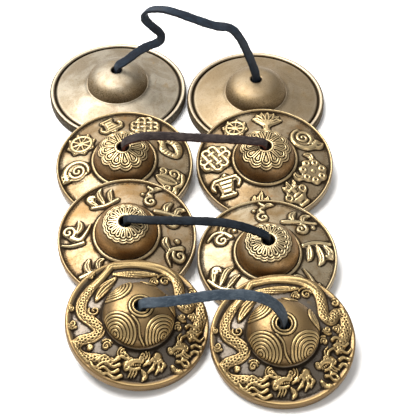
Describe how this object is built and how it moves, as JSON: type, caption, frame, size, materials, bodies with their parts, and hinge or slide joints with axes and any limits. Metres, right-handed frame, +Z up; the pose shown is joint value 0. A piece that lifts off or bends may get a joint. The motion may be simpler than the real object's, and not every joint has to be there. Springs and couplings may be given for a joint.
{
  "type": "finger cymbals",
  "caption": "Sets of bronze tingsha finger cymbals: round bells with domes and raised ornament, joined in pairs by knotted leather straps and laid overlapping in rows.",
  "frame": {"origin": "on the table, under the middle of the laid-out set without its straps", "axes": "+X to the right along a row, +Y from the front row to the back row, +Z up"},
  "size_m": [0.152, 0.238, 0.0645],
  "materials": {
    "bronze_plain": "worn cast bronze, satin",
    "bronze_emblem": "worn cast bronze, satin",
    "bronze_scroll": "worn cast bronze, satin",
    "bronze_dragon": "worn cast bronze, satin",
    "leather_plain": "smooth leather thong",
    "leather_emblem": "smooth leather thong",
    "leather_scroll": "smooth leather thong",
    "leather_dragon": "smooth leather thong"
  },
  "bodies": {
    "plain_pair": {"knot_plain_left": "leather_plain", "knot_plain_right": "leather_plain"},
    "plain_left_bell": {"bell_plain_left": "bronze_plain"},
    "plain_right_bell": {"bell_plain_right": "bronze_plain"},
    "plain_strap": {"strap_plain": "leather_plain"},
    "emblem_pair": {"knot_emblem_left": "leather_emblem", "knot_emblem_right": "leather_emblem"},
    "emblem_left_bell": {"bell_emblem_left": "bronze_emblem"},
    "emblem_right_bell": {"bell_emblem_right": "bronze_emblem"},
    "emblem_strap": {"strap_emblem": "leather_emblem"},
    "scroll_pair": {"knot_scroll_left": "leather_scroll", "knot_scroll_right": "leather_scroll"},
    "scroll_left_bell": {"bell_scroll_left": "bronze_scroll"},
    "scroll_right_bell": {"bell_scroll_right": "bronze_scroll"},
    "scroll_strap": {"strap_scroll": "leather_scroll"},
    "dragon_pair": {"knot_dragon_left": "leather_dragon", "knot_dragon_right": "leather_dragon"},
    "dragon_left_bell": {"bell_dragon_left": "bronze_dragon"},
    "dragon_right_bell": {"bell_dragon_right": "bronze_dragon"},
    "dragon_strap": {"strap_dragon": "leather_dragon"}
  },
  "joints": [
    {"name": "plain_left_bell_spin", "type": "hinge", "parent": "plain_pair", "child": "plain_left_bell", "pos_m": [-0.0393, 0.0822, 0], "axis": [0, 0, 1], "continuous": true},
    {"name": "plain_right_bell_spin", "type": "hinge", "parent": "plain_pair", "child": "plain_right_bell", "pos_m": [0.0348, 0.0751, 0], "axis": [0, 0, 1], "continuous": true},
    {"name": "plain_strap_swing", "type": "hinge", "parent": "plain_pair", "child": "plain_strap", "pos_m": [-0.00225, 0.07865, 0.0218], "axis": [0.9954, -0.0954, 0], "range_deg": [-60, 60]},
    {"name": "emblem_pair_lift", "type": "slide", "parent": "plain_pair", "child": "emblem_pair", "axis": [0, 0, 1], "range_m": [0, 0.12]},
    {"name": "emblem_left_bell_spin", "type": "hinge", "parent": "emblem_pair", "child": "emblem_left_bell", "pos_m": [-0.0331, 0.0234, 0.00382], "axis": [0, -0.1099, 0.9939], "continuous": true},
    {"name": "emblem_right_bell_spin", "type": "hinge", "parent": "emblem_pair", "child": "emblem_right_bell", "pos_m": [0.0381, 0.0239, 0.00474], "axis": [0, -0.1362, 0.9907], "continuous": true},
    {"name": "emblem_strap_swing", "type": "hinge", "parent": "emblem_pair", "child": "emblem_strap", "pos_m": [0.0025, 0.02097, 0.02592], "axis": [0.9999, -0.001, 0.0119], "range_deg": [-60, 60]},
    {"name": "scroll_pair_lift", "type": "slide", "parent": "emblem_pair", "child": "scroll_pair", "axis": [0, 0, 1], "range_m": [0, 0.12]},
    {"name": "scroll_left_bell_spin", "type": "hinge", "parent": "scroll_pair", "child": "scroll_left_bell", "pos_m": [-0.0297, -0.0263, 0.00572], "axis": [0, -0.1703, 0.9854], "continuous": true},
    {"name": "scroll_right_bell_spin", "type": "hinge", "parent": "scroll_pair", "child": "scroll_right_bell", "pos_m": [0.0377, -0.0372, 0.00377], "axis": [0, -0.1122, 0.9937], "continuous": true},
    {"name": "scroll_strap_swing", "type": "hinge", "parent": "scroll_pair", "child": "scroll_strap", "pos_m": [0.004, -0.03483, 0.02632], "axis": [0.9896, -0.1415, -0.026], "range_deg": [-60, 60]},
    {"name": "dragon_pair_lift", "type": "slide", "parent": "scroll_pair", "child": "dragon_pair", "axis": [0, 0, 1], "range_m": [0, 0.12]},
    {"name": "dragon_left_bell_spin", "type": "hinge", "parent": "dragon_pair", "child": "dragon_left_bell", "pos_m": [-0.0234, -0.0774, 0.0067], "axis": [0.1478, -0.1392, 0.9792], "continuous": true},
    {"name": "dragon_right_bell_spin", "type": "hinge", "parent": "dragon_pair", "child": "dragon_right_bell", "pos_m": [0.043, -0.0858, 0.00571], "axis": [0, -0.1729, 0.9849], "continuous": true},
    {"name": "dragon_strap_swing", "type": "hinge", "parent": "dragon_pair", "child": "dragon_strap", "pos_m": [0.01141, -0.085, 0.02761], "axis": [0.9896, -0.1431, -0.0136], "range_deg": [-60, 60]}
  ]
}
